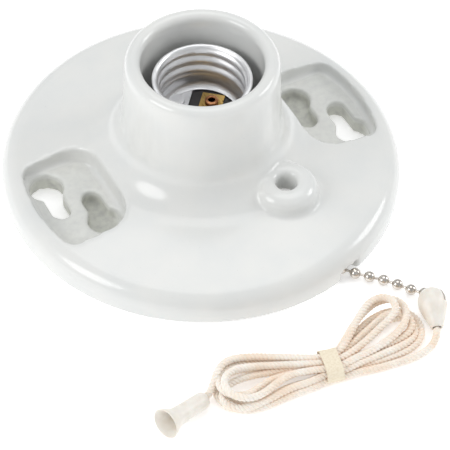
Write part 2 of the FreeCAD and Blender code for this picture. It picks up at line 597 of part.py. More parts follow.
# ---- chain and cord --------------------------------------------------------------------
def bead_centres():
    """Bead centres from the lever's end to the connector."""
    spots = [CHAIN_AT_RIM - heading * (BEAD_PITCH * i) for i in range(BEADS_INSIDE, -1, -1)]
    return [spots[0] - heading * COUPLING_LENGTH] + spots + list(BEADS_OUTSIDE)


def make_beads(centres):
    return Part.makeCompound([Part.makeSphere(BEAD_R, c) for c in centres])


def make_links(centres):
    """Wire links between beads, cut to the beads' surfaces."""
    links = []
    for start, end in zip(centres, centres[1:]):
        rod = Part.makeCylinder(LINK_R, (end - start).Length, start, end - start)
        links.append(rod.cut([Part.makeSphere(BEAD_R, start), Part.makeSphere(BEAD_R, end)]))
    return Part.makeCompound(links)


def make_bell(last_bead):
    """Connector that clips over the last bead, with the cord's hole at its narrow end."""
    dome_z = BELL_R
    body = revolve(((0, 0, 0), (BELL_R, 0, BELL_R * 0.82), (BELL_R, dome_z + 1.6, 3.0),
                    (BELL_NECK_R, BELL_LENGTH, 0.3), (0, BELL_LENGTH, 0)))
    hollow = revolve(((0, BELL_WALL, 0), (BELL_R - BELL_WALL, BELL_WALL, BELL_R - 2 * BELL_WALL),
                      (BELL_R - BELL_WALL, dome_z + 1.4, 2.0), (0.8, BELL_LENGTH - 3, 0),
                      (0, BELL_LENGTH - 3, 0)))
    body = body.cut(hollow)
    axis = V(BELL_AXIS).normalize()
    apex = BELL_EXIT - axis * BELL_LENGTH
    body = stand_along(body, apex, axis)
    way_in = Part.makeCylinder(LINK_R + 0.5, 5, last_bead, BEADS_OUTSIDE[-2] - last_bead)
    slit = block(-BELL_SLIT_W / 2, BELL_SLIT_W / 2, 0, BELL_R + 1, BELL_WALL, BELL_SLIT_LENGTH)
    slit = stand_along(slit, apex, axis)
    slit.rotate(apex, axis, -35)
    return body.cut([Part.makeSphere(BEAD_R + 0.1, last_bead), way_in, slit])


def make_hank():
    """The tied cord as one closed shape, with the waist that the band holds."""
    body = extrude(HANK_OUTLINE, HANK_BOTTOM, HANK_TOP)
    top = [e for e in body.Edges if min(v.Z for v in e.Vertexes) > HANK_TOP - 0.01]
    return body.makeFillet(HANK_ROUND, top).cut(tie_block(0.0)).fuse(tie_block(TIE_T))


def tie_block(inset):
    half = TIE_SPAN / 2 - inset
    round_r = TIE_ROUND - inset
    section = ((-half, inset, round_r), (half, inset, round_r), (half, TIE_HEIGHT - inset, round_r),
               (-half, TIE_HEIGHT - inset, round_r))
    wire = rounded_wire(section, lambda p: V(-TIE_W / 2, p.x, p.y))
    band = Part.Face(wire).extrude(V(TIE_W, 0, 0))
    band.rotate(V(0, 0, 0), UP, TIE_TURN)
    band.translate(TIE_AT)
    return band


def make_knob():
    """Hollow pull with a narrow neck and a flared mouth."""
    body = revolve(((0, 0, 0), (KNOB_NECK_R, 0, 0.4), (KNOB_R, 2.2, 1.0), (KNOB_R, 9.5, 8.0),
                    (KNOB_FLARE_R, KNOB_LENGTH, 0.3), (0, KNOB_LENGTH, 0)))
    inner = KNOB_R - KNOB_WALL
    hollow = revolve(((0, KNOB_FLOOR, 0), (inner, KNOB_FLOOR, 0.5), (inner, 9.8, 8.0),
                      (KNOB_FLARE_R - KNOB_WALL, KNOB_LENGTH + 0.1, 0), (0, KNOB_LENGTH + 0.1, 0)))
    hole = disc(CORD_D / 2 + HOLE_GAP, -1, KNOB_FLOOR + 1)
    return stand_along(body.cut([hollow, hole]), KNOB_NECK, KNOB_AXIS)


def make_tail_and_knot():
    axis = V(KNOB_AXIS).normalize()
    end = KNOB_NECK + axis * (KNOB_FLOOR + 0.5)
    knot = Part.makeSphere(KNOT_R, KNOB_NECK + axis * (KNOB_FLOOR + KNOT_R + 0.1))
    tail = tube((TAIL_START, KNOB_NECK - axis * TAIL_LEAD_IN, end), CORD_D)
    return tail.cut(knot), knot


# ---- every node -----------------------------------------------------------------------
save("porcelain_body", make_porcelain())
save("screw_shell", make_shell())
save("socket_base", make_socket_base())
save("shell_rivets", make_shell_rivets())
save("centre_contact", make_tongue())
save("contact_eyelet", make_eyelet())
save("switch_housing", make_housing())
save("switch_cover", make_cover())
save("assembly_screws", make_assembly_screws())
save("assembly_nuts", make_assembly_nuts())
save("rotor_shaft", make_shaft())
save("ratchet_wheel", make_ratchet())
save("rotor_drum", make_drum())
save("rotor_contact", make_rotor_contact())
save("pull_lever", make_lever())
save("drive_pawl", make_pawl())
save("return_spring", make_return_spring())
save("line_terminal", terminal("line"))
save("neutral_terminal", terminal("neutral"))
save("neutral_strap", make_neutral_strap())
save("line_brush", make_line_leaf())
save("lamp_brush", make_lamp_leaf())
save("line_screw", make_binding_screw(TERMINAL_X))
save("neutral_screw", make_binding_screw(-TERMINAL_X))
chain = bead_centres()
save("chain_beads", make_beads(chain))
save("chain_links", make_links(chain))
bell = make_bell(chain[-1])
save("cord_connector", bell)
lead = tube(LEAD_ROUTE, CORD_D).cut(bell)
tail_tube, end_knot = make_tail_and_knot()
hank = make_hank()
save("cord_lead", lead.cut(hank))
save("cord_hank", hank)
save("cord_tie", tie_block(0.0).cut(tie_block(TIE_T)))
save("cord_tail", tail_tube.cut(hank))
save("end_knot", end_knot)
save("pull_knob", make_knob())
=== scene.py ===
"""Porcelain pull-chain lampholder, dressed round its CAD frame."""
import math

import bpy
import numpy as np
from bpy.props import FloatProperty, FloatVectorProperty, IntProperty, PointerProperty
from mathutils import Matrix, Vector


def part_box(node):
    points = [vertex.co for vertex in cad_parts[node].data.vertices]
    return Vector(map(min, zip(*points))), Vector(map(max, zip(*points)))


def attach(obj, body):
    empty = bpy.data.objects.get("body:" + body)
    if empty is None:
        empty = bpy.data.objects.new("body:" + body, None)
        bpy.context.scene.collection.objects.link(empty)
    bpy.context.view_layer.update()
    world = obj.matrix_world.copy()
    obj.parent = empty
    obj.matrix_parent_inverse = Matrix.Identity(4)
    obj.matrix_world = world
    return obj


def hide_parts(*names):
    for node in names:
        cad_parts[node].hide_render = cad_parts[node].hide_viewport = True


bl_info = {
    "name": "Porcelain pull-chain lampholder",
    "version": (1, 0, 0),
    "blender": (4, 5, 0),
    "location": "3D View > Sidebar > Lampholder",
    "description": "Glazed lampholder with its bead chain and hanked pull cord",
    "category": "Add Mesh",
}

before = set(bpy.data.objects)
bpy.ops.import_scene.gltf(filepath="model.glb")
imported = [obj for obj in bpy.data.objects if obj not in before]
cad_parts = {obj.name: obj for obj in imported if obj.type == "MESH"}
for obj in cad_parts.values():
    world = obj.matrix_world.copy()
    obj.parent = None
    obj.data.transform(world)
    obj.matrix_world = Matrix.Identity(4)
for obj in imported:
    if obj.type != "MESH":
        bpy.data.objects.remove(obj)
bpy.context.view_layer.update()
MM = 0.001

# ---- places, in millimetres ---------------------------------------------------------------
SOCKET_TURN = 50.0                  # direction of the contact strip in plan, degrees
SHELL_FLOOR, SHELL_TOP = 23.0, 37.9
SHELL_MINOR, SHELL_MAJOR, SHELL_LIP = 12.3, 13.1, 13.8
SHELL_SHEET = 0.4
FLOOR_CUTS = (-4.74, 8.6)           # the sheet floor is left beyond these offsets
THREAD_CREST, THREAD_START = 36.65, math.radians(62.0)    # height of the top crest, and where it has it
THREAD_LOW = 28.0                   # the thread dies out below this
CHAIN_HEADING = math.radians(-54.4)
CHAIN_RIM = Vector((20.4, -55.9, 1.6))
CHAIN_OUTSIDE = ((23.5, -58.5, 1.6), (26.3, -61.4, 1.6), (28.8, -64.5, 1.6), (30.9, -67.8, 1.6),
                 (32.9, -70.6, 2.4))
CHAIN_INSIDE = 64.2                 # from the rim back to the bead behind the lever
COUPLING = 6.8                      # the first link is longer than the rest
BELL_EXIT = Vector((29.9, -82.6, 1.75))
BELL_AXIS = Vector((-0.33, -0.91, -0.25)).normalized()
BELL_LENGTH = 12.2
KNOB_NECK = Vector((-38.1, -75.9, 2.2))
KNOB_AXIS = Vector((-13.4, -4.3, 2.4)).normalized()
TIE_AT = Vector((-2.8, -81.3, 0.0))
TIE_TURN = math.radians(-12.0)

LEAD = ((29.9, -82.6, 1.75), (28.4, -84.9, 1.3), (26.0, -86.8, 1.15), (22.9, -87.9, 1.1),
        (19.0, -88.2, 1.15), (13.5, -87.6, 1.1), (8.0, -86.9, 1.15), (3.2, -85.7, 1.3))
# Where each run passes through the band: across it, and height.
SLOTS = ((-3.9, 1.3), (2.4, 1.3), (-1.8, 1.3), (0.3, 1.3), (-2.9, 2.7), (1.3, 2.7), (-0.8, 2.7),
         (3.3, 2.7), (-1.9, 3.9), (0.2, 3.9), (2.1, 3.9))
# Each half of a turn lies at its own height and fans out its own way.
LEFT_LOOPS = (
    ((-10, -85.0, 1.3), (-17, -84.4, 1.2), (-24, -84.9, 1.2), (-30.6, -83.5, 1.2), (-34.4, -79.5, 1.2),
     (-34.3, -74.2, 1.2), (-31.2, -69.4, 1.2), (-26, -67.5, 1.2), (-20.8, -69.0, 1.2),
     (-15, -73.0, 1.3), (-9, -76.9, 1.3)),
    ((-10, -82.9, 1.3), (-17, -81.8, 1.2), (-23.5, -82.8, 1.2), (-29.0, -81.6, 1.3), (-31.9, -77.6, 1.3),
     (-31.5, -72.8, 1.2), (-28.0, -69.9, 1.2), (-22.5, -71.3, 1.2), (-16, -75.6, 1.3),
     (-9.5, -79.0, 1.3)),
    ((-10, -84.0, 2.7), (-17, -83.4, 2.8), (-23, -84.2, 2.8), (-29.4, -84.4, 2.8), (-33.6, -82.4, 2.9),
     (-34.6, -78.6, 2.9), (-32.2, -75.4, 2.9), (-27.4, -74.5, 2.8), (-22, -75.3, 2.8), (-17, -76.7, 2.8),
     (-12.5, -77.9, 2.8), (-9, -78.8, 2.7)),
    ((-10, -80.4, 2.8), (-15, -79.0, 2.8), (-19.8, -78.6, 2.8), (-24.2, -79.9, 3.2), (-28.4, -81.2, 4.0),
     (-32.4, -79.8, 4.8), (-34.1, -75.8, 4.8), (-31.4, -71.4, 3.9), (-26.4, -69.9, 3.3), (-20.6, -71.4, 2.9),
     (-14.4, -74.4, 2.8), (-8.8, -77.0, 2.7)),
    ((-9, -81.6, 4.1), (-14, -80.6, 4.4), (-18.6, -81.2, 4.6), (-23, -82.9, 4.8), (-27.8, -83.9, 5.4),
     (-32.0, -82.0, 6.2), (-33.4, -77.8, 6.5), (-31.4, -74.2, 6.2), (-27.0, -72.8, 5.4), (-21.4, -74.2, 4.8),
     (-15.4, -76.6, 4.5), (-9.4, -78.8, 4.0)),
)
RIGHT_LOOPS = (
    ((4, -77.0, 1.3), (10, -73.5, 1.3), (16, -71.0, 1.2), (22, -70.9, 1.2), (26.2, -73.9, 1.2),
     (26.9, -78.6, 1.2), (25.0, -83.0, 1.2), (20.6, -85.4, 1.2), (14.5, -85.5, 1.3), (9, -85.0, 1.3),
     (3, -84.2, 1.3)),
    ((4.6, -79.4, 1.3), (10.5, -77.1, 1.3), (16, -74.8, 1.3), (20.8, -73.3, 1.2), (24.6, -75.2, 1.2),
     (25.2, -79.6, 1.3), (22.2, -83.0, 1.9), (17, -84.3, 2.6), (11, -84.3, 2.8), (4, -84.2, 2.7)),
    ((3.6, -78.4, 2.7), (9, -76.5, 2.8), (14.4, -74.5, 2.8), (18.8, -72.8, 2.9), (22.8, -73.4, 3.1),
     (24.7, -76.8, 3.2), (23.1, -80.6, 3.1), (19.0, -82.0, 2.9), (13.6, -82.3, 2.8), (8.5, -82.2, 2.8), (4.4, -81.9, 2.7)),
    ((4, -76.2, 2.8), (9, -72.4, 3.0), (14.4, -69.4, 3.4), (19.4, -68.3, 4.0), (23.8, -70.2, 4.6),
     (24.6, -75.1, 4.9), (21.6, -79.2, 4.9), (17.0, -81.5, 4.6), (11.6, -82.6, 4.2), (7.4, -83.0, 4.0),
     (3, -83.2, 3.9)),
    ((4, -81.0, 4.0), (9, -79.6, 4.3), (14.0, -77.9, 5.0), (17.8, -76.9, 5.9), (21.0, -75.2, 6.6),
     (22.0, -71.8, 6.7), (19.8, -68.8, 6.1), (15.8, -68.6, 5.2), (11.8, -71.0, 4.5), (7.8, -74.3, 4.3), (3.8, -77.6, 4.1)),
)
TAIL = ((-9, -76.8, 4.1), (-15, -73.9, 4.6), (-21, -70.9, 4.9), (-26.6, -69.1, 5.4), (-31.0, -70.5, 6.0),
        (-33.7, -72.9, 4.5), (-35.9, -74.8, 2.7), (-38.1, -75.9, 2.2), (-41.6, -77.0, 2.8))


# ---- sizes and colours a user would change -------------------------------------------------
def linear(code):
    """An sRGB hex colour as the linear red, green, blue and alpha that a node takes."""
    channels = [int(code[i:i + 2], 16) / 255 for i in (1, 3, 5)]
    return tuple(c / 12.92 if c <= 0.04045 else ((c + 0.055) / 1.055) ** 2.4 for c in channels) + (1.0,)


class LampholderSettings(bpy.types.PropertyGroup):
    glaze_cell: FloatProperty(name="Body cell", description="Size of the quads that the glazed body is made of",
                              default=0.00066, min=0.0004, unit="LENGTH")
    glaze_wave: FloatProperty(name="Glaze waviness", description="How far the fired glaze wanders",
                              default=0.00010, unit="LENGTH")
    pad_lumps: FloatProperty(name="Pad lumps", description="Height of the lumps in the pressed pad floors",
                             default=0.0011, unit="LENGTH")
    thread_pitch: FloatProperty(name="Thread pitch", description="Rise of the shell's thread in one turn",
                                default=0.00363, unit="LENGTH")
    bead_radius: FloatProperty(name="Bead radius", description="Radius of one chain bead",
                               default=0.0016, unit="LENGTH")
    bead_pitch: FloatProperty(name="Bead pitch", description="Distance from bead to bead",
                              default=0.0041, unit="LENGTH")
    cord_diameter: FloatProperty(name="Cord diameter", description="Across the laid cord",
                                 default=0.0022, unit="LENGTH")
    cord_lay: FloatProperty(name="Cord lay", description="Length in which a strand goes once round the cord",
                            default=0.0033, unit="LENGTH")
    cord_strands: IntProperty(name="Strands", description="Strands laid up in the cord", default=3, min=2, max=4)
    glaze_colour: FloatVectorProperty(name="Glaze", description="White glaze", subtype="COLOR", size=4,
                                      default=linear("#E0E0DD"))
    # This grey is painted shade on the recessed pad floors, and the unglazed grey below them.
    clay_and_shade_colour: FloatVectorProperty(name="Bare clay", description="Thin glaze over the pads' clay",
                                     subtype="COLOR", size=4, default=linear("#CDCEC4"))
    cotton_colour: FloatVectorProperty(name="Cotton", description="Undyed cotton cord", subtype="COLOR", size=4,
                                       default=linear("#FBF4EB"))
    ivory_colour: FloatVectorProperty(name="Ivory plastic", description="Connector and pull", subtype="COLOR",
                                      size=4, default=linear("#EFEAE2"))
    paper_colour: FloatVectorProperty(name="Band paper", description="Paper band round the hank",
                                      subtype="COLOR", size=4, default=linear("#F3E8D2"))


def settings():
    return bpy.context.scene.lampholder


# ---- working with objects -------------------------------------------------------------------
def select_only(piece):
    """Object mode, with this piece alone selected and active."""
    if bpy.context.object and bpy.context.object.mode != "OBJECT":
        bpy.ops.object.mode_set(mode="OBJECT")
    bpy.ops.object.select_all(action="DESELECT")
    if piece:
        piece.select_set(True)
        bpy.context.view_layer.objects.active = piece
    return piece


def edit(piece, mode="FACE"):
    """Edit mode on the piece, with nothing selected."""
    select_only(piece)
    bpy.ops.object.mode_set(mode="EDIT")
    bpy.ops.mesh.select_mode(type=mode)
    bpy.ops.mesh.select_all(action="DESELECT")


def pick_faces(piece, test):
    """Select, in edit mode, the faces whose centre and normal pass the test."""
    bpy.ops.object.mode_set(mode="OBJECT")
    for part in (piece.data.vertices, piece.data.edges):
        part.foreach_set("select", [False] * len(part))
    for face in piece.data.polygons:
        face.select = bool(test(face.center, face.normal))
    bpy.ops.object.mode_set(mode="EDIT")


def add_modifier(piece, kind, **values):
    """Add a modifier, set it and apply it."""
    select_only(piece)
    modifier = piece.modifiers.new(kind.title(), kind)
    for key, value in values.items():
        setattr(modifier, key, value)
    bpy.ops.object.modifier_apply(modifier=modifier.name)


def settle(piece):
    """Put the piece's place, turn and size into its mesh."""
    select_only(piece)
    bpy.ops.object.transform_apply(location=True, rotation=True, scale=True)


def put(piece, turn=None, at=None):
    """Turn and move a settled mesh; both are in the row frame, in metres."""
    matrix = (turn.to_matrix().to_4x4() if turn else Matrix.Identity(4))
    if at is not None:
        matrix = Matrix.Translation(at) @ matrix
    piece.data.transform(matrix)
    piece.data.update()


def join(name, pieces):
    select_only(pieces[0])
    for piece in pieces:
        piece.select_set(True)
    bpy.ops.object.join()
    pieces[0].name = pieces[0].data.name = name
    return pieces[0]


def copy_of(piece, name):
    """A copy with its own mesh."""
    twin = bpy.data.objects.new(name, piece.data.copy())
    bpy.context.scene.collection.objects.link(twin)
    return twin


def finish_piece(piece, name, body, slot, surface, *nodes, angle=None):
    """Name, smooth and colour a piece and hang it on its body."""
    piece.name = piece.data.name = name
    piece.data.materials.clear()
    piece.data.materials.append(surface)
    select_only(piece)
    if angle is None:
        bpy.ops.object.shade_smooth()
    else:
        bpy.ops.object.shade_smooth_by_angle(angle=math.radians(angle))
    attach(piece, body)
    if nodes:
        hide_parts(*nodes)
    return piece


def merged_copy(node, name):
    """A copy of a CAD node with its loose triangles joined up."""
    piece = bpy.data.objects.new(name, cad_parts[node].data.copy())
    bpy.context.scene.collection.objects.link(piece)
    piece.data.materials.clear()
    select_only(piece)
    bpy.ops.mesh.customdata_custom_splitnormals_clear()
    edit(piece, "VERT")
    bpy.ops.mesh.select_all(action="SELECT")
    bpy.ops.mesh.remove_doubles(threshold=1e-6)
    bpy.ops.object.mode_set(mode="OBJECT")
    return piece


def turned(name, profile, segments=64, closed=False):
    """A turned form: a ring is extruded and scaled through each (radius, height) of the profile, in mm.
    A radius of 0 gathers the ring into a point. A closed form ends on its first ring."""
    select_only(None)
    radius, height = profile[0]
    start = radius or 0.05
    bpy.ops.mesh.primitive_circle_add(vertices=segments, radius=start * MM, fill_type="NOTHING",
                                      location=(0, 0, height * MM))
    piece = bpy.context.object
    settle(piece)
    edit(piece, "VERT")
    bpy.ops.mesh.select_all(action="SELECT")
    if radius == 0:
        bpy.ops.mesh.edge_face_add()
        bpy.ops.mesh.select_all(action="SELECT")
        bpy.ops.mesh.select_mode(type="EDGE")
    now, z = start, height
    for radius, height in profile[1:]:
        bpy.ops.mesh.extrude_edges_move(TRANSFORM_OT_translate={"value": (0, 0, (height - z) * MM)})
        target = radius or 0.05
        bpy.ops.transform.resize(value=(target / now, target / now, 1))
        now, z = target, height
    if profile[-1][0] == 0:
        bpy.ops.mesh.edge_face_add()
    bpy.ops.mesh.select_all(action="SELECT")
    if closed:
        bpy.ops.mesh.remove_doubles(threshold=1e-6)
    bpy.ops.mesh.normals_make_consistent(inside=False)
    bpy.ops.object.mode_set(mode="OBJECT")
    piece.name = name
    return piece


def along_axis(axis):
    """The turn that takes +Z to an axis."""
    return Vector((0, 0, 1)).rotation_difference(Vector(axis).normalized())


# ---- lines and tubes -------------------------------------------------------------------------
def spline(name, points):
    """A smooth curve with these control points, in mm."""
    data = bpy.data.curves.new(name, "CURVE")
    data.dimensions = "3D"
    data.resolution_u = 16
    line = data.splines.new("NURBS")
    line.points.add(len(points) - 1)
    for point, place in zip(line.points, points):
        point.co = tuple(c * MM for c in place) + (1.0,)
    line.order_u = 3
    line.use_endpoint_u = True
    curve = bpy.data.objects.new(name, data)
    bpy.context.scene.collection.objects.link(curve)
    return curve


def line_points(name, points):
    """The curve's own points, read from it, after which the curve is taken away."""
    curve = spline(name, points)
    mesh = bpy.data.meshes.new_from_object(curve)
    places = np.array([v.co[:] for v in mesh.vertices])
    bpy.data.meshes.remove(mesh)
    bpy.data.objects.remove(curve)
    keep = np.r_[True, np.linalg.norm(np.diff(places, axis=0), axis=1) > 1e-7]
    return places[keep]


def walk(places, distances):
    """Points at distances along a line of points."""
    gone = np.r_[0, np.cumsum(np.linalg.norm(np.diff(places, axis=0), axis=1))]
    return np.stack([np.interp(distances, gone, places[:, i]) for i in range(3)], axis=1)


def line_length(places):
    return float(np.linalg.norm(np.diff(places, axis=0), axis=1).sum())


def frames_along(places):
    """Direction, side and rise at each point, carried along without twist."""
    ahead = np.gradient(places, axis=0)
    ahead /= np.linalg.norm(ahead, axis=1)[:, None]
    side = np.cross(ahead[0], (0, 0, 1.0))
    side /= np.linalg.norm(side)
    sides = [side]
    for direction in ahead[1:]:
        side = side - direction * side.dot(direction)
        side /= np.linalg.norm(side)
        sides.append(side)
    sides = np.array(sides)
    return ahead, sides, np.cross(ahead, sides)


def tube_mesh(name, lines, radius, sides):
    """Closed tubes round lines of points. The UV map holds mm along the tube and turns round it."""
    verts, faces, uvs = [], [], []
    turn = np.arange(sides) * 2 * math.pi / sides
    for places in lines:
        _, side, rise = frames_along(places)
        first = len(verts)
        rings = (places[:, None, :] + radius * (np.cos(turn)[None, :, None] * side[:, None, :]
                                                + np.sin(turn)[None, :, None] * rise[:, None, :]))
        verts.extend(map(tuple, rings.reshape(-1, 3)))
        gone = np.r_[0, np.cumsum(np.linalg.norm(np.diff(places, axis=0), axis=1))] / MM
        for i in range(len(places) - 1):
            for j in range(sides):
                k = (j + 1) % sides
                a, b = first + i * sides, first + (i + 1) * sides
                faces.append((a + j, a + k, b + k, b + j))
                uvs += [(gone[i], j / sides), (gone[i], (j + 1) / sides),
                        (gone[i + 1], (j + 1) / sides), (gone[i + 1], j / sides)]
        for ring, flip in ((first, True), (first + (len(places) - 1) * sides, False)):
            cap = tuple(range(ring, ring + sides))
            faces.append(cap[::-1] if flip else cap)
            uvs += [(0.0, 0.5)] * sides
    mesh = bpy.data.meshes.new(name)
    mesh.from_pydata(verts, [], faces)
    mesh.uv_layers.new(name="strand").data.foreach_set("uv", np.array(uvs, np.float32).ravel())
    mesh.validate()
    piece = bpy.data.objects.new(name, mesh)
    bpy.context.scene.collection.objects.link(piece)
    return piece


# ---- surfaces ---------------------------------------------------------------------------------
def add_node(tree, kind, values=None, **inputs):
    """Add a node, set its own settings, and set or link its inputs. A link is (node, output)."""
    node = tree.nodes.new(kind)
    for key, value in (values or {}).items():
        setattr(node, key, value)
    for key, value in inputs.items():
        key = int(key[1:]) if key[0] == "i" and key[1:].isdigit() else key.replace("_", " ")
        socket = node.inputs[key]
        if isinstance(value, tuple) and isinstance(value[0], bpy.types.Node):
            tree.links.new(value[0].outputs[value[1]], socket)
        else:
            socket.default_value = value
    return node


def ramp(tree, factor, *stops):
    """A colour ramp from (place, hex colour) stops."""
    node = add_node(tree, "ShaderNodeValToRGB", None, Fac=factor)
    elements = node.color_ramp.elements
    while len(elements) < len(stops):
        elements.new(0.5)
    for element, (place, colour) in zip(elements, stops):
        element.position = place
        element.color = linear(colour) if isinstance(colour, str) else tuple(colour)
    return node


def new_surface(name):
    """An empty material with its output, and its tree."""
    surface = bpy.data.materials.new(name)
    surface.use_nodes = True
    surface.node_tree.nodes.clear()
    return surface, surface.node_tree


def close_surface(tree, shader):
    add_node(tree, "ShaderNodeOutputMaterial", None, Surface=(shader, 0))


def glazed_porcelain():
    """Wet-pressed electrical porcelain under a clear white glaze: it gives broad soft highlights on
    rounded edges, a faint orange-peel wander, a few pinholes, rougher lumpy pads with painted shade greying
    their recessed floors, and unglazed grey below them."""
    surface, tree = new_surface("glazed_electrical_porcelain")
    place = add_node(tree, "ShaderNodeTexCoord")
    wander = add_node(tree, "ShaderNodeTexNoise", None, Vector=(place, "Object"), Scale=90.0, Detail=3.0)
    speck = add_node(tree, "ShaderNodeTexNoise", None, Vector=(place, "Object"), Scale=2600.0, Detail=2.0)
    # The mask holds painted shade on the recessed pad floors and unglazed grey below them; it also roughens them.
    dry_and_shaded = add_node(tree, "ShaderNodeAttribute", {"attribute_name": "bare"})
    lumps = add_node(tree, "ShaderNodeTexNoise", None, Vector=(place, "Object"), Scale=520.0, Detail=4.0)
    white = ramp(tree, (wander, "Fac"), (0.35, "#DCDDDB"), (0.65, settings().glaze_colour))
    dotted = ramp(tree, (speck, "Fac"), (0.20, "#B9B6AC"), (0.27, "#FFFFFF"))
    glaze = add_node(tree, "ShaderNodeMix", {"data_type": "RGBA", "blend_type": "MULTIPLY"},
                     Factor=0.5, i6=(white, "Color"), i7=(dotted, "Color"))
    # Painted shade colour for the pad floors, also used for the unglazed grey below them.
    clay_and_shade = ramp(tree, (lumps, "Fac"), (0.30, "#B4B4AE"), (0.62, settings().clay_and_shade_colour))
    colour = add_node(tree, "ShaderNodeMix", {"data_type": "RGBA"},
                      i0=(dry_and_shaded, "Fac"), i6=(glaze, 2), i7=(clay_and_shade, "Color"))
    rough = add_node(tree, "ShaderNodeMapRange", None, Value=(dry_and_shaded, "Fac"), To_Min=0.16, To_Max=0.55)
    peel = add_node(tree, "ShaderNodeTexNoise", None, Vector=(place, "Object"), Scale=260.0, Detail=1.0)
    height = add_node(tree, "ShaderNodeMath", {"operation": "MULTIPLY"},
                      i0=(lumps, "Fac"), i1=(dry_and_shaded, "Fac"))
    soft = add_node(tree, "ShaderNodeBump", None, Height=(peel, "Fac"), Strength=0.10, Distance=0.0002)
    bump = add_node(tree, "ShaderNodeBump", None, Height=(height, 0), Strength=0.35, Distance=0.0003,
                    Normal=(soft, 0))
    shader = add_node(tree, "ShaderNodeBsdfPrincipled", None, Base_Color=(colour, 2), IOR=1.52,
                      Roughness=(rough, 0), Normal=(bump, 0))
    close_surface(tree, shader)
    return surface


def metal(name, light, dark, roughness, grain, scratch=0.08, stretch=(1, 1, 1)):
    """A metal whose colour and gloss wander over a real grain size in mm, with fine handling marks."""
    surface, tree = new_surface(name)
    place = add_node(tree, "ShaderNodeTexCoord")
    drawn = add_node(tree, "ShaderNodeMapping", None, Vector=(place, "Object"), Scale=stretch)
    cloud = add_node(tree, "ShaderNodeTexNoise", None, Vector=(drawn, 0), Scale=1000 / grain, Detail=5.0)
    fine = add_node(tree, "ShaderNodeTexNoise", None, Vector=(drawn, 0), Scale=5000 / grain, Detail=2.0)
    colour = ramp(tree, (cloud, "Fac"), (0.35, dark), (0.65, light))
    rough = add_node(tree, "ShaderNodeMapRange", None, Value=(cloud, "Fac"), From_Min=0.3, From_Max=0.7,
                     To_Min=roughness * 0.75, To_Max=roughness * 1.3)
    bump = add_node(tree, "ShaderNodeBump", None, Height=(fine, "Fac"), Strength=scratch, Distance=0.0001)
    shader = add_node(tree, "ShaderNodeBsdfPrincipled", None, Base_Color=(colour, "Color"), Metallic=1.0,
                      Roughness=(rough, 0), Normal=(bump, 0))
    close_surface(tree, shader)
    return surface


def moulding(name, light, dark, roughness, grain, ior=1.5, bump_strength=0.12, glow=0.0):
    """A moulded plastic: mottled a little, with the fine skin that the mould leaves."""
    surface, tree = new_surface(name)
    place = add_node(tree, "ShaderNodeTexCoord")
    mottle = add_node(tree, "ShaderNodeTexNoise", None, Vector=(place, "Object"), Scale=1000 / grain, Detail=4.0)
    skin = add_node(tree, "ShaderNodeTexNoise", None, Vector=(place, "Object"), Scale=8000 / grain, Detail=2.0)
    colour = ramp(tree, (mottle, "Fac"), (0.35, dark), (0.65, light))
    rough = add_node(tree, "ShaderNodeMapRange", None, Value=(mottle, "Fac"), From_Min=0.3, From_Max=0.7,
                     To_Min=roughness * 0.85, To_Max=roughness * 1.2)
    bump = add_node(tree, "ShaderNodeBump", None, Height=(skin, "Fac"), Strength=bump_strength,
                    Distance=0.0001)
    shader = add_node(tree, "ShaderNodeBsdfPrincipled", None, Base_Color=(colour, "Color"), IOR=ior,
                      Roughness=(rough, 0), Normal=(bump, 0), Subsurface_Weight=glow,
                      Subsurface_Radius=(0.002, 0.0014, 0.001))
    close_surface(tree, shader)
    return surface


def laid_cotton():
    """Soft twisted cotton: matt, with a warm painted shade in the grooves, fibres 0.1 mm apart running along each
    strand, drawn as 0.25 mm so that they show, and the pale sheen of loose fibre ends."""
    surface, tree = new_surface("laid_cotton_cord")
    strand = add_node(tree, "ShaderNodeUVMap", {"uv_map": "strand"})
    stretched = add_node(tree, "ShaderNodeMapping", None, Vector=(strand, 0), Scale=(0.55, 14.0, 1.0))
    fibre = add_node(tree, "ShaderNodeTexNoise", None, Vector=(stretched, 0), Scale=1.0, Detail=4.0,
                     Roughness=0.65)
    place = add_node(tree, "ShaderNodeTexCoord")
    patch = add_node(tree, "ShaderNodeTexNoise", None, Vector=(place, "Object"), Scale=110.0, Detail=2.0)
    yarn = ramp(tree, (fibre, "Fac"), (0.25, "#F3E6D9"), (0.55, settings().cotton_colour), (0.8, "#FFFCF8"))
    tint = ramp(tree, (patch, "Fac"), (0.35, "#FAF0E6"), (0.65, "#FFFFFF"))
    # Painted shade: ambient occlusion darkens and warms the cotton's colour down in the grooves between strands.
    groove = add_node(tree, "ShaderNodeAmbientOcclusion", {"samples": 4}, Distance=0.0012)
    painted_groove_shade = ramp(tree, (groove, "AO"), (0.10, "#E0BE9C"), (0.60, "#FFFFFF"))
    warm = add_node(tree, "ShaderNodeMix", {"data_type": "RGBA", "blend_type": "MULTIPLY"},
                    Factor=1.0, i6=(yarn, "Color"), i7=(tint, "Color"))
    colour = add_node(tree, "ShaderNodeMix", {"data_type": "RGBA", "blend_type": "MULTIPLY"},
                      Factor=0.5, i6=(warm, 2), i7=(painted_groove_shade, "Color"))
    bump = add_node(tree, "ShaderNodeBump", None, Height=(fibre, "Fac"), Strength=0.5, Distance=0.00012)
    shader = add_node(tree, "ShaderNodeBsdfPrincipled", None, Base_Color=(colour, 2), Roughness=0.92,
                      Normal=(bump, 0), Sheen_Weight=0.35, Sheen_Roughness=0.5, Specular_IOR_Level=0.2,
                      Subsurface_Weight=0.3, Subsurface_Radius=(0.0014, 0.0011, 0.0009))
    close_surface(tree, shader)
    return surface


